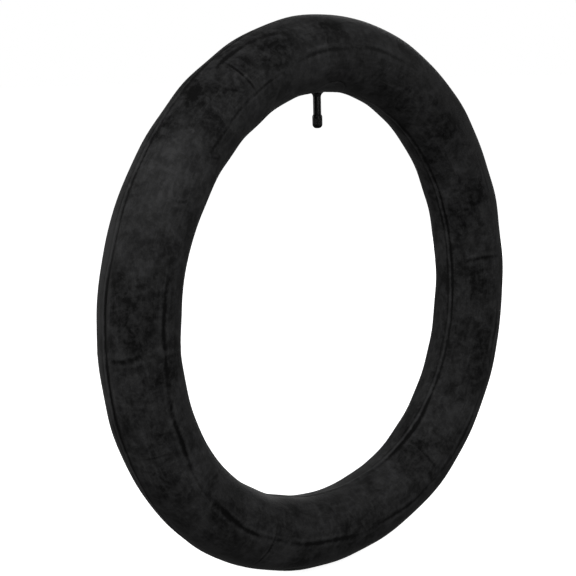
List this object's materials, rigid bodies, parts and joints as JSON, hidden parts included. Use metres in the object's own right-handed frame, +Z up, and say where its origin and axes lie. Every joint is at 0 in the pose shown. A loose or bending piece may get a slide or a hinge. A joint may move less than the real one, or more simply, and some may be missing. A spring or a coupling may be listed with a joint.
{
  "type": "bicycle inner tube",
  "caption": "Lightly inflated butyl inner tube for a wide 20 inch tyre, with a rubber-covered screw-cap valve whose core unscrews and opens when pressed.",
  "frame": {"origin": "centre of the ring, where the wheel's axis crosses the tube's middle plane", "axes": "+Y along the wheel's axle; +Z up, from the centre to the valve; the valve points along -Z, towards the hub"},
  "size_m": [0.5542, 0.074, 0.5542],
  "materials": {
    "butyl": "matt black butyl with talc traces",
    "butyl_patch": "matt black rubber",
    "stem_rubber": "satin black rubber",
    "brass": "turned brass",
    "core_brass": "fine turned brass",
    "gasket_red": "matt red rubber",
    "spring_steel": "drawn wire",
    "seal_rubber": "matt black rubber",
    "cap_plastic": "satin black moulded plastic"
  },
  "bodies": {
    "tube": {"tube_body": "butyl", "valve_patch": "butyl_patch", "stem_jacket": "stem_rubber", "stem_insert": "brass"},
    "cap_washer": {"cap_seal": "seal_rubber"},
    "cap": {"dust_cap": "cap_plastic"},
    "core": {"core_barrel": "core_brass", "core_gasket": "gasket_red", "core_spring": "spring_steel"},
    "core_screw": {"core_plug": "core_brass"},
    "pin": {"core_pin": "core_brass", "spring_collar": "core_brass", "core_cup": "core_brass", "core_cup_seal": "seal_rubber"}
  },
  "joints": [
    {"name": "cap_travel", "type": "slide", "parent": "tube", "child": "cap_washer", "axis": [0, 0, -1], "range_m": [0, 0.01429]},
    {"name": "cap_turn", "type": "hinge", "parent": "cap_washer", "child": "cap", "pos_m": [0, 0, 0.1712], "axis": [0, 0, -1], "range_deg": [0, 6481]},
    {"name": "core_travel", "type": "slide", "parent": "tube", "child": "core", "axis": [0, 0, -1], "range_m": [0, 0.00141]},
    {"name": "core_turn", "type": "hinge", "parent": "core", "child": "core_screw", "pos_m": [0, 0, 0.1712], "axis": [0, 0, -1], "range_deg": [0, 720]},
    {"name": "pin_press", "type": "slide", "parent": "core", "child": "pin", "axis": [0, 0, 1], "range_m": [0, 0.0012], "stiffness_N_per_m": 1500, "deforming": ["core_spring"]}
  ],
  "couplings": [
    {"joint": "cap_turn", "follows": "cap_travel", "rad_per_m": 7915.8},
    {"joint": "core_turn", "follows": "core_travel", "rad_per_m": 8905.3}
  ]
}
